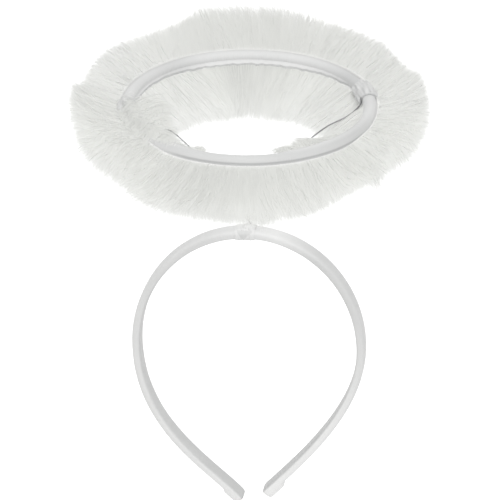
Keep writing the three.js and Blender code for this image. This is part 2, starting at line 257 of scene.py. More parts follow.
# %% [markdown]
# The band is a springy plastic strip inside a satin sleeve. Its side view is one line: half an
# ellipse over the head, then a leg on either side that curves inwards to its tip. Each leg is a
# Bezier curve, because four points say where it starts, where it ends and how it leaves both.
# The strip's rounded cross-section is carried along that line, thicker at the folded tips.


# %% The headband's line
def bezier(points, share):
    """A cubic Bezier curve through four points: each is weighted by its Bernstein polynomial."""
    t = share[:, None]
    weights = [(1 - t) ** 3, 3 * (1 - t) ** 2 * t, 3 * (1 - t) * t ** 2, t ** 3]
    return sum(weight * np.asarray(point) for weight, point in zip(weights, points))


def leg(side, sizes):
    """A leg of the band in the XZ plane, from its widest place down to its tip."""
    widest = BAND_THICKNESS / 2 - BAND_RISE
    lean = np.radians(TIP_LEAN)
    shoulder = np.array([side * BAND_HALF_SPAN, widest])
    tip = np.array([sizes["tip_out"], widest - sizes["drop"]])
    pull = np.array([side * np.sin(lean), np.cos(lean)]) * sizes["tip_handle"]
    corners = [shoulder, shoulder - [0, sizes["top_handle"]], tip + pull, tip]
    return bezier(corners, np.linspace(0, 1, 400))


def headband_line(steps):
    """Evenly spaced centre points of the band from the left tip to the right one, the outward
    direction at each and the distance along the line."""
    turn = np.linspace(np.pi, 0, 900)
    widest = BAND_THICKNESS / 2 - BAND_RISE
    arch = np.stack([BAND_HALF_SPAN * np.cos(turn), widest + BAND_RISE * np.sin(turn)], axis=-1)
    whole = np.concatenate([leg(-1, LEFT_LEG)[::-1], arch[1:-1], leg(1, RIGHT_LEG)])
    whole[:, 1] += BAND_SKEW * whole[:, 0]
    lengths = np.concatenate([[0], np.cumsum(np.linalg.norm(np.diff(whole, axis=0), axis=1))])
    along = np.linspace(0, lengths[-1], steps)
    line = np.stack([np.interp(along, lengths, whole[:, axis]) for axis in (0, 1)], axis=-1)
    tangent = unit(np.gradient(line, axis=0))
    outward = np.stack([-tangent[:, 1], tangent[:, 0]], axis=-1)
    return line, outward, along


def band_section(girth, half_width, half_depth, crown):
    """The strip's rounded cross-section: a squared-off ellipse, bowed outwards on its outer face."""
    c, s = np.cos(girth), np.sin(girth)
    across = half_width * np.sign(c) * np.abs(c) ** 0.5
    bow = np.where(s > 0, crown * (1 - np.abs(c) ** 3) - BAND_CROWN * 0.4, 0)
    depth = half_depth * np.sign(s) * np.abs(s) ** 0.5 + bow
    return across, depth


def carried_section(line, outward, across, depth):
    """Points of a section carried along the line: across is along Y, depth along the outward way."""
    x = line[:, None, 0] + outward[:, None, 0] * depth
    z = line[:, None, 1] + outward[:, None, 1] * depth
    return np.stack([x, across + np.zeros_like(x), z], axis=-1)


# %% The headband
BAND_ROWS = 440
BAND_COLUMNS = 40
BLUNT_END = 1.2
# Painted light and shade along the band: the outer face whiter or greyer from place to place, and painted
# shade on the inner face.
BAND_PAINTED_SHADE = [
    {"along": 0.000, "outer": 0.85, "inner_shade": 0.35},
    {"along": 0.060, "outer": 0.79, "inner_shade": 0.39},
    {"along": 0.200, "outer": 0.73, "inner_shade": 0.55},
    {"along": 0.380, "outer": 0.60, "inner_shade": 0.53},
    {"along": 0.460, "outer": 0.61, "inner_shade": 0.53},
    {"along": 0.545, "outer": 0.78, "inner_shade": 0.53},
    {"along": 0.600, "outer": 0.51, "inner_shade": 0.53},
    {"along": 0.670, "outer": 0.53, "inner_shade": 0.53},
    {"along": 0.760, "outer": 0.70, "inner_shade": 0.51},
    {"along": 0.860, "outer": 0.88, "inner_shade": 0.37},
    {"along": 1.000, "outer": 0.94, "inner_shade": 0.33},
]


def make_headband():
    """The covered band: the section swells over the folded ribbon at each tip and its end is blunt.

    Painted light and shade make the satin whiter or greyer along it, from the table, and painted shade
    makes its inner face greyer."""
    line, outward, along = headband_line(BAND_ROWS)
    girth = np.linspace(0, 2 * np.pi, BAND_COLUMNS, endpoint=False)[None, :]
    from_tip = np.minimum(along, along[-1] - along)[:, None]
    on_left = along[:, None] < along[-1] / 2
    fold_length = np.where(on_left, LEFT_FOLD["length"], RIGHT_FOLD["length"])
    fold_depth = np.where(on_left, LEFT_FOLD["depth"], RIGHT_FOLD["depth"])
    fold = fold_depth * (1 - smoothstep(fold_length * 0.75, fold_length, from_tip))
    blunt = np.sqrt(np.clip(from_tip / BLUNT_END, 0.0, 1))
    rounding = 0.88 + 0.12 * blunt
    slack = 0.10 * np.sin(along * 0.21) * np.sin(along * 0.057 + 1.0)
    width = (BAND_WIDTH / 2 + slack[:, None]) * rounding
    across, depth = band_section(girth, width, BAND_THICKNESS / 2 * rounding, BAND_CROWN + fold)
    rings = carried_section(line, outward, across, depth)
    share = along / along[-1]
    places = [row["along"] for row in BAND_PAINTED_SHADE]
    outer = np.interp(share, places, [row["outer"] for row in BAND_PAINTED_SHADE])[:, None]
    inner = np.interp(share, places, [row["inner_shade"] for row in BAND_PAINTED_SHADE])[:, None]
    streaks = 0.03 * np.sin(3 * girth + 0.11 * along[:, None]) * np.sin(0.063 * along[:, None] + 2.0)
    # Painted shade on the inner face, blended in from the table.
    tone = outer + (inner - outer) * smoothstep(-0.2, -0.8, np.sin(girth)) + streaks
    piece = make_tube("satin_headband", rings, satin, (40.0, 3.0), tone)
    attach(piece, "root")
    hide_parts("headband")
    print("headband length, mm:", round(float(along[-1]), 1))


make_headband()

# %% [markdown]
# A short ribbon is wound round the top of the band to hold the stem's foot. It heaps up into a
# small mound where the wires come out, and in front its two folds leave a V between them, where
# the ribbon below lies deeper and painted shade greys it; a painted shadow greys the mound's left side.
# The wrap is the band's own section, moved out by a thickness that changes from place to place,
# so the mound and the V are part of one surface.


# %% The wrap at the stem's foot
WRAP_CENTRE = -1.4
WRAP_LENGTH = 10.4
WRAP_THICKNESS = 0.42
MOUND = {"length": 7.6, "width": 6.4, "height": 2.2}
NOTCH = {"width": 7.6, "skew": -1.3, "top": 4.6}


def make_stem_wrap():
    """The wrap: band section plus thickness, plus the mound on top, less the V in front."""
    rows, columns = 90, 112
    x = np.linspace(WRAP_CENTRE - WRAP_LENGTH / 2, WRAP_CENTRE + WRAP_LENGTH / 2, rows)
    line, outward, _ = headband_line(4000)
    top = line[:, 1] > BAND_THICKNESS / 2 - BAND_RISE
    centre = np.stack([x, np.interp(x, line[top, 0], line[top, 1])], axis=-1)
    way = np.stack([np.interp(x, line[top, 0], outward[top, axis]) for axis in (0, 1)], axis=-1)
    girth = np.linspace(0, 2 * np.pi, columns, endpoint=False)[None, :]
    end = np.minimum(x - x[0], x[-1] - x)[:, None]
    rolled = smoothstep(-0.1, 1.6, end)
    half_width, half_depth = BAND_WIDTH / 2 + CLEARANCE, BAND_THICKNESS / 2 + CLEARANCE
    across, depth = band_section(girth, half_width, half_depth, BAND_CROWN)
    rings = carried_section(centre, way, across, depth)
    height = rings[..., 2] - centre[:, None, 1]
    reach = np.hypot((x[:, None] - STEM_CENTRE) / (MOUND["length"] / 2), across / (MOUND["width"] / 2))
    mound = MOUND["height"] * np.sqrt(np.clip(1 - reach ** 2, 0, 1)) * (height > 0)
    front = smoothstep(-3.0, -3.9, across)
    share_down = np.clip((NOTCH["top"] / 2 - height) / NOTCH["top"], 0, 1)
    half = NOTCH["width"] / 2 * (1 - share_down)
    middle = WRAP_CENTRE + NOTCH["skew"] * share_down
    notch = front * smoothstep(0.5, -0.3, np.abs(x[:, None] - middle) - half)
    folds = 0.07 * np.sin(x[:, None] * 3.1 + across * 0.8) + 0.05 * np.sin(x[:, None] * 5.3 - across * 1.1)
    thick = (WRAP_THICKNESS + folds) * (0.2 + 0.8 * rolled) * (1 - 0.85 * notch)
    away = rings - np.stack([centre[:, 0], np.zeros(rows), centre[:, 1]], axis=-1)[:, None, :]
    away[..., 0] = 0
    rings = rings + unit(away) * thick[..., None]
    rings[..., 2] += mound
    mound_shadow = smoothstep(WRAP_CENTRE - 1.0, WRAP_CENTRE - 3.0, x)[:, None] * (height > 0) * (reach < 1.1)
    # Painted shade in the V and a painted shadow on the left of the mound, where the wires come out.
    tone = 0.77 - 0.22 * notch - 0.32 * mound_shadow
    piece = make_tube("ribbon_stem_wrap", rings, satin, (4.0, 4.0), tone)
    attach(piece, "root")
    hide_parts("stem_wrap")


make_stem_wrap()

# %% [markdown]
# The two wires start in the mound, twist round each other up the stem and part. Each arm bends
# up and out to the hoop and ends in a hook round it. Its line runs through the points of the CAD
# part: a helix for the twist, a short table of given places for the arm and an arc for the hook. A
# Catmull-Rom spline joins them, since such a spline passes through every one of them.


# %% The wires
ARM_ROUTE = [
    {"out": 0.04, "right_up": 0.08, "left_up": 0.08},
    {"out": 0.20, "right_up": 0.29, "left_up": 0.25},
    {"out": 0.45, "right_up": 0.495, "left_up": 0.49},
    {"out": 0.66, "right_up": 0.70, "left_up": 0.78},
    {"out": 0.84, "right_up": 0.82, "left_up": 0.88},
]
HOOK_START = -162.0
HOOK_SWEEP = 303.0
HOOK_STEP = 2.4
WIRE_SHOWN_RADIUS = 0.33
HOOK_RADIUS = HOOP_TUBE_RADIUS + 0.15 + CLEARANCE + WIRE_RADIUS
STEM_FOOT = BAND_THICKNESS + BAND_CROWN + CLEARANCE + WIRE_RADIUS
STEM_TOP = STEM_FOOT + STEM_HEIGHT


def facing_of(side):
    """The way that an arm goes out from the stem, as a turn from +X."""
    return np.radians(LEFT_ARM_TURN if side < 0 else RIGHT_ARM_TURN)


def wire_route(side):
    """The points that a wire passes through: helix up the stem, arm to the hoop, hook round it."""
    facing = facing_of(side)
    out = np.array([np.cos(facing), np.sin(facing), 0])
    beside = np.array([-out[1], out[0], 0])
    twist_steps = round(STEM_HEIGHT / TWIST_PITCH * 7)
    z = STEM_FOOT + STEM_HEIGHT * np.arange(twist_steps + 1) / twist_steps
    turn = facing + (z - STEM_TOP) * 2 * np.pi / TWIST_PITCH
    gap = WIRE_RADIUS + CLEARANCE / 2 + 0.05
    helix = np.stack([STEM_CENTRE + gap * np.cos(turn), gap * np.sin(turn), z], axis=-1)
    up_name = "left_up" if side < 0 else "right_up"
    reach = HOOP_RADIUS * np.array([row["out"] for row in ARM_ROUTE])
    rise = STEM_TOP + (HOOP_HEIGHT - STEM_TOP) * np.array([row[up_name] for row in ARM_ROUTE])
    arm = out * reach[:, None]
    arm[:, 0] += STEM_CENTRE * (1 - reach / HOOP_RADIUS)
    arm[:, 2] = rise
    share = np.arange(10) / 9
    turn = np.radians(HOOK_START - HOOK_SWEEP * share)[:, None]
    hook = out * (HOOP_RADIUS + HOOK_RADIUS * np.cos(turn)) + beside * ((share - 0.5) * HOOK_STEP)[:, None]
    hook[:, 2] = HOOP_HEIGHT + HOOK_RADIUS * np.sin(turn[:, 0])
    return np.concatenate([helix, arm, hook])


def catmull_rom(knots, per_span):
    """A centripetal Catmull-Rom spline through the knots, by its pyramid of straight blends."""
    first = 2 * knots[0] - knots[1]
    last = 2 * knots[-1] - knots[-2]
    padded = np.concatenate([[first], knots, [last]])
    p = [padded[i:len(padded) - 3 + i, None, :] for i in range(4)]
    gaps = [np.sqrt(np.linalg.norm(p[i + 1] - p[i], axis=-1, keepdims=True)) for i in range(3)]
    t = [0 * gaps[0], gaps[0], gaps[0] + gaps[1], gaps[0] + gaps[1] + gaps[2]]
    share = np.linspace(0, 1, per_span, endpoint=False)[None, :, None]
    now = t[1] + (t[2] - t[1]) * share

    def between(start, end, first_point, last_point):
        """The straight blend of two points as time goes from start to end."""
        return ((end - now) * first_point + (now - start) * last_point) / (end - start)

    blend = [between(t[i], t[i + 1], p[i], p[i + 1]) for i in range(3)]
    blend = [between(t[i], t[i + 2], blend[i], blend[i + 1]) for i in range(2)]
    curve = between(t[1], t[2], *blend)
    return np.concatenate([curve.reshape(-1, 3), knots[-1:]])


def tube_rings(line, radius, columns):
    """Rings round a line in space, square to it; radius is one number or one for each point."""
    tangent = unit(np.gradient(line, axis=0))
    aside = np.cross(tangent, [0.31, 0.12, 0.94])
    aside = unit(aside)
    above = np.cross(tangent, aside)
    turn = np.linspace(0, 2 * np.pi, columns, endpoint=False)[None, :, None]
    size = np.broadcast_to(radius, len(line))[:, None, None]
    return line[:, None, :] + size * (aside[:, None, :] * np.cos(turn) + above[:, None, :] * np.sin(turn))


def plain_steel():
    """Thin drawn wire: grey metal with faint streaks along it and duller patches."""
    material, tree, shader = new_material("plain_steel")
    shader.inputs["Metallic"].default_value = 0.9
    streaks = add_noise(tree, 30.0, 3.0, (1.0, 8.0, 1.0), "UV")
    colour = add_ramp(tree, streaks.outputs["Fac"], [(0.3, (0.16, 0.16, 0.165)), (0.7, (0.30, 0.30, 0.31))])
    tree.links.new(colour.outputs["Color"], shader.inputs["Base Color"])
    dull = add_ramp(tree, streaks.outputs["Fac"], [(0.3, (0.28, 0.28, 0.28)), (0.7, (0.45, 0.45, 0.45))])
    tree.links.new(dull.outputs["Color"], shader.inputs["Roughness"])
    add_bump(tree, shader, streaks, 0.2, 0.00003)
    return material


steel = plain_steel()


def make_wire(side, name, node):
    """One wire, a round tube with its cut end rounded off."""
    line = catmull_rom(wire_route(side), 9)
    rows = len(line)
    from_end = np.linalg.norm(line - line[-1], axis=1)
    radius = WIRE_SHOWN_RADIUS * np.sqrt(np.clip(from_end / WIRE_SHOWN_RADIUS + 0.15, 0, 1))
    piece = make_tube(name, tube_rings(line, radius, 12), steel, (rows / 12, 1.0))
    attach(piece, "root")
    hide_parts(node)


make_wire(-1, "steel_wire_left", "wire_left")
make_wire(1, "steel_wire_right", "wire_right")

# %% [markdown]
# The hoop is a ring of stiff cord inside a satin tube, and the tube is sewn shut on its inner
# side, where the two selvedges stand out as a thin double lip with a groove between them. The lip
# hangs lower at the far side, and the tube is pressed in a little at the near one. The ring's
# outer length is longer than its inner one, so the satin puckers towards the lip. The surface is
# a torus whose radius depends on the place round the ring and round the tube.


# %% The satin hoop
LIP_ANGLE = 195.0
LIP_FAR_DROOP = 9.0
LIP_REACH = 1.3
LIP_FAR_REACH = 1.5
LIP_HALF_WIDTH = 14.0
LIP_GROOVE = 4.5
PRESSED_DEPTH = 1.3


def beside_hoop(round_ring, lean, reach):
    """A point beside the hoop's centre line: lean turns up from level outwards, in radians."""
    out = HOOP_RADIUS + reach * np.cos(lean)
    height = HOOP_HEIGHT + reach * np.sin(lean)
    return np.stack([out * np.cos(round_ring), out * np.sin(round_ring), height], axis=-1)


def ripple(round_ring, waves, seed):
    """A sum of waves round the ring with unlike counts and phases, from -1 to 1."""
    phase = np.random.default_rng(seed).uniform(0, 2 * np.pi, len(waves))
    total = sum(np.sin(count * round_ring + start) for count, start in zip(waves, phase))
    return total / len(waves)


def lip_share(round_ring):
    """How far the sewn lip stands out, which is nothing where a wire hooks on."""
    nearest = [np.abs((round_ring - facing_of(side) + np.pi) % (2 * np.pi) - np.pi) for side in (1, -1)]
    return 0.02 + 0.98 * smoothstep(np.radians(19), np.radians(26), np.minimum(*nearest))


def hoop_tone(ring, girth, from_lip, hanging, groove):
    """The hoop's white: a base value with painted shade on the far side, in patches, in the groove and on
    the near arc's top, a painted shadow line under the near arc and a painted highlight along the hanging
    lip.
    """
    place, round_tube = np.degrees(ring), np.degrees(girth)
    far = smoothstep(-0.3, 0.5, np.sin(ring))
    # Painted shade on the far side and in patches on the upper left and right.
    painted_shade_patches = 0.12 * bell(place, 141, 15) + 0.24 * bell(place, 38, 15)
    tone = 0.62 - 0.06 * far - painted_shade_patches + 0.026 * ripple(ring, [5, 9, 14], 6)
    # Painted highlight along the hanging lip's edges and painted shade in its groove.
    tone = tone + 0.07 * hanging * bell(from_lip, 10, 4) - 0.12 * groove
    # Painted shadow line along the near arc's lower edge, where it meets the fur, and painted shade round
    # 338 degrees.
    shaded = smoothstep(240, 252, place) * smoothstep(356, 340, place)
    below = (round_tube + 15 + 180) % 360 - 180
    tone = tone - 0.10 * bell(place, 338, 16) - 0.65 * shaded * bell(below, 0, 8)
    # Painted shade on the near arc's upper side, with a little painted light lower down.
    upper = bell(round_tube, 50, 26) - 0.2 * bell(round_tube, 4, 10)
    return tone - 0.20 * upper * smoothstep(0.2, -0.7, np.sin(ring))


def make_hoop():
    """The covered hoop: tube radius plus puckers plus the lip, two edges with a groove between.

    The columns lie closest together at the lip, which is the finest form here."""
    rows, columns = 720, 40
    ring = np.linspace(0, 2 * np.pi, rows, endpoint=False)[:, None]
    even = np.linspace(0, 2 * np.pi, columns, endpoint=False)[None, :]
    girth = even - 0.65 * np.sin(even - np.radians(LIP_ANGLE))
    place, round_tube = np.degrees(ring), np.degrees(girth)
    hanging = bell(place, 98, 38, 4)
    lip_angle = np.radians(LIP_ANGLE + LIP_FAR_DROOP * hanging)
    from_lip = np.degrees(np.abs((girth - lip_angle + np.pi) % (2 * np.pi) - np.pi))
    pucker = 0.16 * ripple(ring + 0.02 * np.sin(girth), [61, 83, 97, 118], 3) * bell(from_lip, 0, 70)
    pucker = pucker + 0.10 * ripple(ring, [7, 11, 17, 23], 4)
    lip = bell(from_lip, 0, LIP_HALF_WIDTH, 4) * lip_share(ring)
    lip = lip * (LIP_REACH + LIP_FAR_REACH * hanging)
    groove = bell(from_lip, 0, LIP_GROOVE)
    lip = lip * (1 + 0.25 * ripple(ring, [29, 43, 71], 5)) * (1 - 0.6 * groove)
    pressed = bell(place, 272, 26, 4) * bell(round_tube, 118, 50)
    radius = HOOP_TUBE_RADIUS + pucker + lip - PRESSED_DEPTH * pressed
    points = beside_hoop(ring + 0 * girth, girth + 0 * ring, radius)
    tone = hoop_tone(ring, girth, from_lip, hanging, groove)
    piece = make_tube("satin_halo_hoop", points, satin, (40.0, 2.0), tone, is_loop=True)
    piece.visible_shadow = False
    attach(piece, "root")
    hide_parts("halo_hoop")


make_hoop()

# %% [markdown]
# Beside each hook the ribbon's end is bunched and bound round the hoop. It reads as a soft knot
# with deep, uneven gathers. The same grid does it: a short sleeve over the tube, thick in its
# middle and rolled in at its ends, with narrow gathers that run along the hoop.


# %% The bindings
BINDING_LENGTH = 17.0
BINDING_THICKNESS = 1.5


def make_binding(side, name, node, seed):
    """A bunched sleeve: radius of the hoop plus a swelling, plus gathers that twist along it.

    It starts at the hook and runs back round the hoop; its front end hangs over the hook's top."""
    rows, columns = 80, 96
    share = np.linspace(0, 1, rows)[:, None]
    girth = np.linspace(0, 2 * np.pi, columns, endpoint=False)[None, :]
    start = -0.8 - 1.6 * np.sin(girth) * smoothstep(0.35, 0, share)
    ring = facing_of(side) + side * (start + BINDING_LENGTH * share) / HOOP_RADIUS
    swell = 0.55 + 0.45 * np.sin(np.pi * (0.18 + 0.8 * share)) + 0.12 * np.sin(share * 19 + seed)
    gather = 0.22 * np.sin(9 * girth + 2.2 * share + seed) + 0.13 * np.sin(17 * girth - 3 * share)
    gather = gather + 0.16 * np.sin(5 * girth + 9 * share + seed)
    rolled = smoothstep(-0.06, 0.05, share) * smoothstep(1.02, 0.86, share)
    radius = HOOP_TUBE_RADIUS + CLEARANCE + (BINDING_THICKNESS * swell + gather) * rolled
    points = beside_hoop(ring, girth + 0 * share, radius)
    # Painted shade in the hollows between the gathers and at the rolled-in ends, and painted light on the
    # gathers' ridges.
    piece = make_tube(name, points, satin, (4.0, 4.0), 0.48 + 0.30 * gather - 0.25 * (1 - rolled))
    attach(piece, "root")
    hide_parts(node)


make_binding(-1, "gathered_binding_left", "binding_left", 1.0)
make_binding(1, "gathered_binding_right", "binding_right", 4.0)

# %% [markdown]
# Long-pile fur is tens of thousands of fine hairs that stand in locks and lie over one another.
# Blender's particle hair would do, but its strands are not a mesh, so here each strand is a
# narrow tapered blade of three triangles, and all of them are worked out at once as arrays. They
# grow from a soft backing, a half-round roll under the hoop, which keeps the fur from being seen through.
# A table says how far the fur reaches round the ring, outside and under it.

# %% How far the fur reaches
FUR_LOBES = [
    {"angle": 1, "outside": 1.06, "under": 1.13, "crest": 16, "inner": -140},
    {"angle": 16, "outside": 1.04, "under": 1.17, "crest": 24, "inner": -140},
    {"angle": 30, "outside": 0.88, "under": 1.16, "crest": 30, "inner": -146},
    {"angle": 46, "outside": 0.97, "under": 1.15, "crest": 34, "inner": -150},
    {"angle": 68, "outside": 1.0, "under": 1.13, "crest": 38, "inner": -151},
    {"angle": 89, "outside": 1.14, "under": 1.16, "crest": 38, "inner": -152},
    {"angle": 112, "outside": 1.16, "under": 1.15, "crest": 38, "inner": -152},
    {"angle": 134, "outside": 0.88, "under": 1.15, "crest": 38, "inner": -152},
    {"angle": 156, "outside": 0.94, "under": 1.12, "crest": 34, "inner": -156},
    {"angle": 169, "outside": 0.90, "under": 1.06, "crest": 30, "inner": -156},
    {"angle": 178, "outside": 0.88, "under": 1.03, "crest": 17, "inner": -156},
    {"angle": 188, "outside": 1.04, "under": 1.0, "crest": 20, "inner": -156},
    {"angle": 204, "outside": 0.97, "under": 0.95, "crest": 20, "inner": -154},
    {"angle": 226, "outside": 0.92, "under": 0.86, "crest": 18, "inner": -156},
    {"angle": 249, "outside": 1.11, "under": 1.04, "crest": -24, "inner": -156},
    {"angle": 272, "outside": 1.08, "under": 1.08, "crest": -24, "inner": -156},
    {"angle": 292, "outside": 1.07, "under": 1.05, "crest": -24, "inner": -156},
    {"angle": 322, "outside": 0.88, "under": 0.9, "crest": -24, "inner": -170},
    {"angle": 342, "outside": 0.82, "under": 1.0, "crest": 4, "inner": -158},
]


def around(round_ring, column):
    """A column of the table at places round the ring, eased from row to row."""
    place = np.degrees(round_ring) % 360
    angles = np.array([row["angle"] for row in FUR_LOBES], float)
    values = np.array([row[column] for row in FUR_LOBES], float)
    index = (np.searchsorted(angles, place, side="right") - 1) % len(angles)
    following = (index + 1) % len(angles)
    width = (angles[following] - angles[index]) % 360
    ease = smoothstep(0, 1, ((place - angles[index]) % 360) / width)
    return values[index] + (values[following] - values[index]) * ease


def lobe(round_ring, share):
    """The fur's reach at a place as a share: from outside the ring at 0.3 to under it at 0.7."""
    outside, under = around(round_ring, "outside"), around(round_ring, "under")
    return outside + (under - outside) * smoothstep(0.3, 0.7, share)


def fan_lean(round_ring, share):
    """The lean of a direction in the fan, from its crest at 0 to its inner edge at 1."""
    crest, inner = around(round_ring, "crest"), around(round_ring, "inner")
    return np.radians(crest + (inner - crest) * share)


# %% The fur's material
def white_fur(name):
    """Fur: half of the light is scattered back and half passes through, as in thin white hair.

    Each strand has its own white, with painted shade towards its root."""
    material, tree, shader = new_material(name)
    shader.inputs["Roughness"].default_value = 0.8
    shader.inputs["Specular IOR Level"].default_value = 0.1
    tone = tree.nodes.new("ShaderNodeAttribute")
    tone.attribute_name = "tone"
    stops = [(0.0, (0.56, 0.565, 0.55)), (0.5, (0.735, 0.74, 0.72)), (1.0, (0.80, 0.803, 0.79))]
    ramp = add_ramp(tree, tone.outputs["Fac"], stops)
    tree.links.new(ramp.outputs["Color"], shader.inputs["Base Color"])
    through = tree.nodes.new("ShaderNodeBsdfTranslucent")
    tree.links.new(ramp.outputs["Color"], through.inputs["Color"])
    both = tree.nodes.new("ShaderNodeMixShader")
    both.inputs["Fac"].default_value = 0.5
    tree.links.new(shader.outputs["BSDF"], both.inputs[1])
    tree.links.new(through.outputs["BSDF"], both.inputs[2])
    tree.links.new(both.outputs["Shader"], tree.nodes["Material Output"].inputs["Surface"])
    return material


strand_fur = white_fur("white_fur_strands")

# %% [markdown]
# The backing is drawn first. Its section is the half-round fan at two thirds of the fur's
# reach, with a groove along its top for the hoop. Bumps in the mesh and in the material keep it
# from looking smooth where it shows between the strands.


# %% The backing under the strands
BACKING_SHARE = 0.66
BACKING_INSET = 0.08


def soft_normals(round_ring, lean):
    """Shading normals of the fur as one soft body: mostly up, turned a little towards its outside."""
    out = beside_hoop(round_ring, lean, 1.0) - beside_hoop(round_ring, lean, 0.0)
    return unit(0.12 * out + [0, 0, 1.0])


def underwool():
    """The dense wool under the strands: matt white with fine bumps."""
    material, tree, shader = new_material("white_underwool")
    shader.inputs["Roughness"].default_value = 0.9
    shader.inputs["Specular IOR Level"].default_value = 0.0
    tone = tree.nodes.new("ShaderNodeAttribute")
    tone.attribute_name = "tone"
    ramp = add_ramp(tree, tone.outputs["Fac"], [(0.0, (0.58, 0.58, 0.57)), (1.0, (0.72, 0.723, 0.71))])
    tree.links.new(ramp.outputs["Color"], shader.inputs["Base Color"])
    wool = add_noise(tree, 260.0, 4.0, (1.0, 1.0, 1.0), "Object")
    add_bump(tree, shader, wool, 0.3, 0.0006)
    return material


def make_backing():
    """A grooved half-round roll: the fan at part of its reach, then back under the hoop."""
    rows, fan, groove = 360, 34, 8
    ring = np.linspace(0, 2 * np.pi, rows, endpoint=False)[:, None]
    share = np.linspace(0, 1, fan)[None, :]
    reach = FUR_REACH * BACKING_SHARE * lobe(ring, share + 0 * ring)
    reach = reach + 0.9 * np.sin(37 * ring + 9 * share) * np.sin(23 * ring - 31 * share)
    rim = smoothstep(0, 0.06, share) * smoothstep(1, 0.94, share)
    inset = BACKING_INSET + (1 - 2 * BACKING_INSET) * share
    fan_points = beside_hoop(ring + 0 * share, fan_lean(ring, inset), reach * (0.9 + 0.1 * rim))
    back = np.linspace(1, 0, groove)[None, :]
    hug = HOOP_TUBE_RADIUS + CLEARANCE + 0.3
    groove_points = beside_hoop(ring + 0 * back, fan_lean(ring, back), hug + 0 * ring + 0 * back)
    points = np.concatenate([fan_points, groove_points], axis=1)
    # Painted shadow: the backing is greyer in the groove under the hoop and along its edge beside it.
    edge = smoothstep(0.0, 0.12, share)
    tone = np.concatenate([edge, np.full((1, groove), 0.15)], axis=1) + 0 * ring
    piece = make_tube("fur_backing", points, underwool(), (60.0, 6.0), tone, is_loop=True)
    leans = np.concatenate([fan_lean(ring, inset), fan_lean(ring, back)], axis=1)
    normals = soft_normals(ring + 0 * leans, leans).reshape(-1, 3)
    piece.data.normals_split_custom_set_from_vertices(normals.astype(np.float32))
    piece.visible_shadow = False
    piece.visible_diffuse = False
    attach(piece, "root")


make_backing()

# %% [markdown]
# Now the strands. Each has a place round the ring, a lean, a root and a tip. Strands of one lock
# share a centre that their tips bend towards, slow waves comb whole patches to one side, and the
# pile sags a little under its own weight. The blades' shading normals are those of the whole
# roll rather than of each blade, so light falls on the fur as on one soft body.

# %% The strands
STRANDS_PER_PIECE = 51500
FUR_PIECES = 5
STRAND_WIDTH = 0.24
LOCK_SPACING = 4.2
STEM_GAP = 280.2
INNER_SHARE = 0.88
STEPS = np.array([0.0, 0.6, 1.0])
TAPER = np.array([1.0, 0.75, 0.0])


def waves_over_fur(round_ring, lean, seed, count=6, fineness=9.0):
    """Slow waves over the fur in two directions, from about -1 to 1, used to comb it."""
    random = np.random.default_rng(seed)
    total = np.zeros_like(round_ring)
    for _ in range(count):
        turns = random.integers(2, int(fineness) + 2)
        across = random.uniform(-fineness / 2, fineness / 2)
        total += np.sin(turns * round_ring + across * lean + random.uniform(0, 2 * np.pi))
    return total / math.sqrt(count)


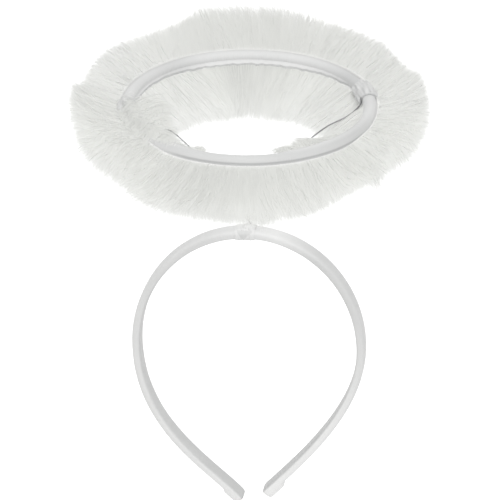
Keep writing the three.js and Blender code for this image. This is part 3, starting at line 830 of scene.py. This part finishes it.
def strand_points(random, count):
    """Places of all strands: arrays of ring angle, lean and reach at each step, and their tone."""
    ring = random.uniform(0, 2 * np.pi, count)
    edge_pull = random.uniform(0, 1, count)
    share = np.where(edge_pull < 0.30, random.beta(0.8, 7, count), random.uniform(0, 1, count))
    share = np.where(edge_pull > 0.76, 1 - random.beta(0.8, 7, count), share)
    lean = fan_lean(ring, share)
    full = FUR_REACH * lobe(ring, share)

    depth = random.uniform(0, 1, count)
    rooted = np.where(share > INNER_SHARE, 0.8, 0.3)
    start = np.where(random.uniform(0, 1, count) < rooted, 0.12 * depth, depth)
    root = HOOP_TUBE_RADIUS + 0.3 + start * full * 0.6
    length = full * random.uniform(0.32, 0.62, count)
    tip = np.minimum(root + length, full * random.normal(0.985, 0.035, count))
    tip = np.maximum(tip, root + full * 0.15)
    place = np.degrees(ring)
    stem_gap = bell(place, STEM_GAP, 1.1) * smoothstep(0.25, 0.4, share)
    tip = tip - 0.10 * full * stem_gap

    local = np.maximum(HOOP_RADIUS + full * 0.8 * np.cos(lean), 20.0)
    pitch_ring = LOCK_SPACING / local
    pitch_lean = LOCK_SPACING / (full * 0.85)
    lock_ring = np.round(ring / pitch_ring + 0.35 * np.sin(lean * 13)) * pitch_ring
    lock_lean = np.round(lean / pitch_lean + 0.35 * np.sin(ring * 29)) * pitch_lean
    grip = random.uniform(0.15, 0.6, count)

    comb = np.radians(7.0) * waves_over_fur(ring, lean, 11) / np.maximum(local / HOOP_RADIUS, 0.4)
    lift = np.radians(7.0) * waves_over_fur(ring, lean, 12)
    stray_ring = random.normal(0, 0.022, count)
    stray_lean = random.normal(0, 0.06, count)
    sag = 0.08 * np.clip(np.cos(lean), 0, 1) + 0.03

    t = STEPS[None, :]
    bend = t ** 1.6
    ring_at = ring[:, None] + bend * ((lock_ring - ring) * grip * 0.9 + comb * 0.5 + stray_ring)[:, None]
    lean_at = lean[:, None] + bend * ((lock_lean - lean) * grip + lift * 0.5 + stray_lean)[:, None]
    inner_stop = fan_lean(ring, 1.0) - np.radians(3)
    lean_at = np.maximum(lean_at, inner_stop[:, None])
    reach_at = root[:, None] + (tip - root)[:, None] * t
    points = beside_hoop(ring_at, lean_at, reach_at)
    points[..., 2] -= (sag * (tip - root))[:, None] * bend

    # Painted shade: greyer at the near side, in the inner far part with dark streaks round 97 and 106
    # degrees, in the parting at the stem and towards the roots.
    # Painted light: whiter at the left and right sides and round 165 degrees. The rest is random tone.
    near = smoothstep(0.1, -0.6, np.sin(ring))
    inside = smoothstep(0.5, 0.85, share) * (1 - near)
    tone = 0.62 + 0.03 * random.normal(0, 1, count) + 0.05 * waves_over_fur(ring, lean, 13)
    tone = tone - 0.18 * near - 0.03 * inside - 0.20 * bell(place, 97, 11) * inside
    tone = tone + 0.12 * np.cos(ring) ** 2 + 0.16 * bell(place, 165, 22) - 0.45 * stem_gap
    tone = tone - 0.30 * bell(place, 106, 9) * inside * (0.5 + 0.5 * np.sin(ring * 260))
    # Painted shade towards the root of each strand.
    tone = tone[:, None] - 0.06 * (1 - smoothstep(0.2, 0.85, reach_at / full[:, None]))
    return points, tone, ring, lean


def make_blades(name, random, points, tone, ring, lean):
    """A piece of fur: blades two vertices wide that taper to a point, all in one mesh."""
    count = len(points)
    along = unit(points[:, -1] - points[:, 0])
    soft_normal = soft_normals(ring, lean)
    spin = random.uniform(0, 2 * np.pi, count)
    side = unit(np.cross(along, soft_normal))
    over = np.cross(side, along)
    flat = side * np.cos(spin)[:, None] + over * np.sin(spin)[:, None]
    face = np.cross(flat, along)
    flat = np.where((face * soft_normal).sum(axis=1, keepdims=True) < 0, -flat, flat)
    width = STRAND_WIDTH * random.uniform(0.6, 1.3, count)
    half = width[:, None] * TAPER[None, :] / 2

    left = points - flat[:, None, :] * half[..., None]
    right = points + flat[:, None, :] * half[..., None]
    corners = np.stack([left[:, 0], right[:, 0], left[:, 1], right[:, 1], points[:, 2]], axis=1)
    base = np.arange(count)[:, None] * corners.shape[1]
    quads = base + [0, 1, 3, 2]
    triangles = base + [2, 3, 4]
    tones = tone[:, [0, 0, 1, 1, 2]].reshape(-1)
    piece = make_piece(name, corners.reshape(-1, 3), [quads, triangles], strand_fur, tone=tones)
    normals = np.repeat(soft_normal[:, None, :], corners.shape[1], axis=1).reshape(-1, 3)
    piece.data.normals_split_custom_set_from_vertices(normals.astype(np.float32))
    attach(piece, "root")
    piece.visible_shadow = False
    piece.visible_diffuse = False
    return piece


def make_strands(number):
    """One of the pieces that the even pile is split into, each with a random seed of its own."""
    random = np.random.default_rng(100 + number)
    return make_blades(f"fur_strands_{number}", random, *strand_points(random, STRANDS_PER_PIECE))


fur = [make_strands(number) for number in range(FUR_PIECES)]
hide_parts("fur_trim")
print("fur triangles:", FUR_PIECES * STRANDS_PER_PIECE * 3)

# %% [markdown]
# Some locks leave the even pile: they lie over the hoop where it is nearest, stand up into the
# open middle or stick out past the rest. A table gives each such wisp its place and the lean and
# reach of its roots and tips, and its strands are scattered about those.

# %% Wisps that leave the pile
WISPS = [
    {"angle": 212, "spread": 12, "lean": (20, 150), "reach": (5.4, 7.5), "strands": 3600},
    {"angle": 199, "spread": 9, "lean": (160, 182), "reach": (5.0, 23.0), "strands": 900},
    {"angle": 213, "spread": 5, "lean": (165, 187), "reach": (5.0, 16.5), "strands": 1500},
    {"angle": 234, "spread": 7, "lean": (60, 130), "reach": (4.6, 5.5), "strands": 1400},
    {"angle": 254, "spread": 3, "lean": (176, 184), "reach": (4.2, 8.0), "strands": 300},
    {"angle": 297, "spread": 4, "lean": (150, 178), "reach": (4.2, 8.5), "strands": 500},
    {"angle": 307, "spread": 4, "lean": (180, 188), "reach": (4.2, 13.0), "strands": 500},
    {"angle": 214, "spread": 1, "lean": (2, -6), "reach": (18.0, 34.5), "strands": 160},
    {"angle": 219, "spread": 1, "lean": (0, -10), "reach": (18.0, 35.0), "strands": 160},
    {"angle": 225, "spread": 1, "lean": (-4, -16), "reach": (18.0, 34.0), "strands": 160},
    {"angle": 231, "spread": 1, "lean": (-8, -22), "reach": (18.0, 33.5), "strands": 160},
    {"angle": 328, "spread": 1, "lean": (-20, -34), "reach": (18.0, 33.0), "strands": 160},
    {"angle": 341, "spread": 1, "lean": (-8, -18), "reach": (18.0, 31.0), "strands": 160},
    {"angle": 348, "spread": 1, "lean": (-6, -14), "reach": (18.0, 32.5), "strands": 160},
    {"angle": 285, "spread": 5, "lean": (-70, -84), "reach": (16.0, 34.5), "strands": 900},
]


def make_wisps():
    """The wisps: each strand bends from its root's lean and reach to its tip's, with its own stray."""
    random = np.random.default_rng(7)
    pick = np.repeat(np.arange(len(WISPS)), [row["strands"] for row in WISPS])
    count = len(pick)
    ring = np.radians(np.array([row["angle"] for row in WISPS], float)[pick])
    spread = np.radians(np.array([row["spread"] for row in WISPS], float)[pick])
    ring = ring + spread * random.normal(0, 0.6, count)
    ends = np.array([[*row["lean"], *row["reach"]] for row in WISPS], float)[pick]
    lean = np.radians(ends[:, :2] + random.normal(0, 9, (count, 1)) + random.normal(0, 5, (count, 2)))
    reach = ends[:, 2:] + random.normal(0, 0.05, (count, 2)) * ends[:, 3:]
    reach = np.maximum(reach, HOOP_TUBE_RADIUS + 0.6)
    t = STEPS[None, :]
    lean_at = lean[:, :1] + (lean[:, 1:] - lean[:, :1]) * t
    reach_at = reach[:, :1] + (reach[:, 1:] - reach[:, :1]) * t
    ring_at = ring[:, None] + t ** 1.5 * random.normal(0, 0.03, (count, 1))
    points = beside_hoop(ring_at, lean_at, reach_at)
    tone = 0.54 + 0.04 * random.normal(0, 1, (count, 1)) + 0 * t
    make_blades("fur_wisps", random, points, tone, ring, lean[:, 1])
    print("strands in the wisps:", count)


make_wisps()

# %% [markdown]
# The photograph is a catalogue shot on white: the light is large and soft and comes from above
# the camera, and the ground is so far below that no shadow shows. A big pale floor under the
# object does for both ground and background, because the camera looks down on it.


# %% Floor, light and camera
FLOOR_DROP = 600.0
FLOOR_SIZE = 9000.0
VIEW_TURN = 9.5
VIEW_RISE = 28.1
VIEW_DISTANCE = 1435.0
PIXELS_PER_MM = 1.88
IMAGE_SIZE = 500
ORIGIN_IN_IMAGE = (248.6, 235.9)


def make_floor():
    """A pale flat sheet far below the object, lit a little from within like a light table."""
    material, tree, shader = new_material("pale_floor")
    shader.inputs["Base Color"].default_value = (0.86, 0.86, 0.86, 1)
    shader.inputs["Roughness"].default_value = 0.9
    shader.inputs["Specular IOR Level"].default_value = 0.0
    shader.inputs["Emission Color"].default_value = (1, 1, 1, 1)
    shader.inputs["Emission Strength"].default_value = 0.05
    half = FLOOR_SIZE / 2
    corners = np.array([[-half, -half], [half, -half], [half, half], [-half, half]])
    points = np.column_stack([corners, np.full(4, -FLOOR_DROP)])
    floor = make_piece("studio_floor", points, [np.array([[0, 1, 2, 3]])], material)


def add_sun(name, turn, rise, strength, softness):
    """A soft distant light from a turn and rise, both in degrees, as the camera's are."""
    light = bpy.data.lights.new(name, "SUN")
    light.energy = strength
    light.angle = math.radians(softness)
    lamp = bpy.data.objects.new(name, light)
    lamp.rotation_euler = (math.radians(90 - rise), 0, math.radians(turn))
    bpy.context.scene.collection.objects.link(lamp)


def add_camera():
    """The camera at the photograph's angle: far away, with a long lens and no tilt of its own."""
    turn, rise = math.radians(VIEW_TURN), math.radians(VIEW_RISE)
    back = np.array([math.sin(turn) * math.cos(rise), -math.cos(turn) * math.cos(rise), math.sin(rise)])
    right = np.array([math.cos(turn), math.sin(turn), 0])
    up = np.cross(back, right)
    aside = (IMAGE_SIZE / 2 - ORIGIN_IN_IMAGE[0]) / PIXELS_PER_MM
    above = (ORIGIN_IN_IMAGE[1] - IMAGE_SIZE / 2) / PIXELS_PER_MM
    data = bpy.data.cameras.new("catalogue_camera")
    data.sensor_width = 36
    data.lens = data.sensor_width * VIEW_DISTANCE * PIXELS_PER_MM / IMAGE_SIZE
    data.clip_start = 0.05
    data.clip_end = 50
    camera = bpy.data.objects.new("catalogue_camera", data)
    camera.location = (back * VIEW_DISTANCE + right * aside + up * above) * MM
    camera.rotation_euler = (math.pi / 2 - rise, 0, turn)
    bpy.context.scene.collection.objects.link(camera)
    bpy.context.scene.camera = camera


def light_the_room():
    """An even white surround."""
    world = bpy.data.worlds.new("white_surround")
    world.use_nodes = True
    world.node_tree.nodes["Background"].inputs["Color"].default_value = (1, 1, 1, 1)
    world.node_tree.nodes["Background"].inputs["Strength"].default_value = 0.6
    bpy.context.scene.world = world
    bpy.context.scene.view_settings.view_transform = "Standard"


make_floor()
add_sun("front_light", VIEW_TURN, 45, 1.5, 50)
add_sun("top_light", 0, 84, 1.7, 60)
add_camera()
light_the_room()
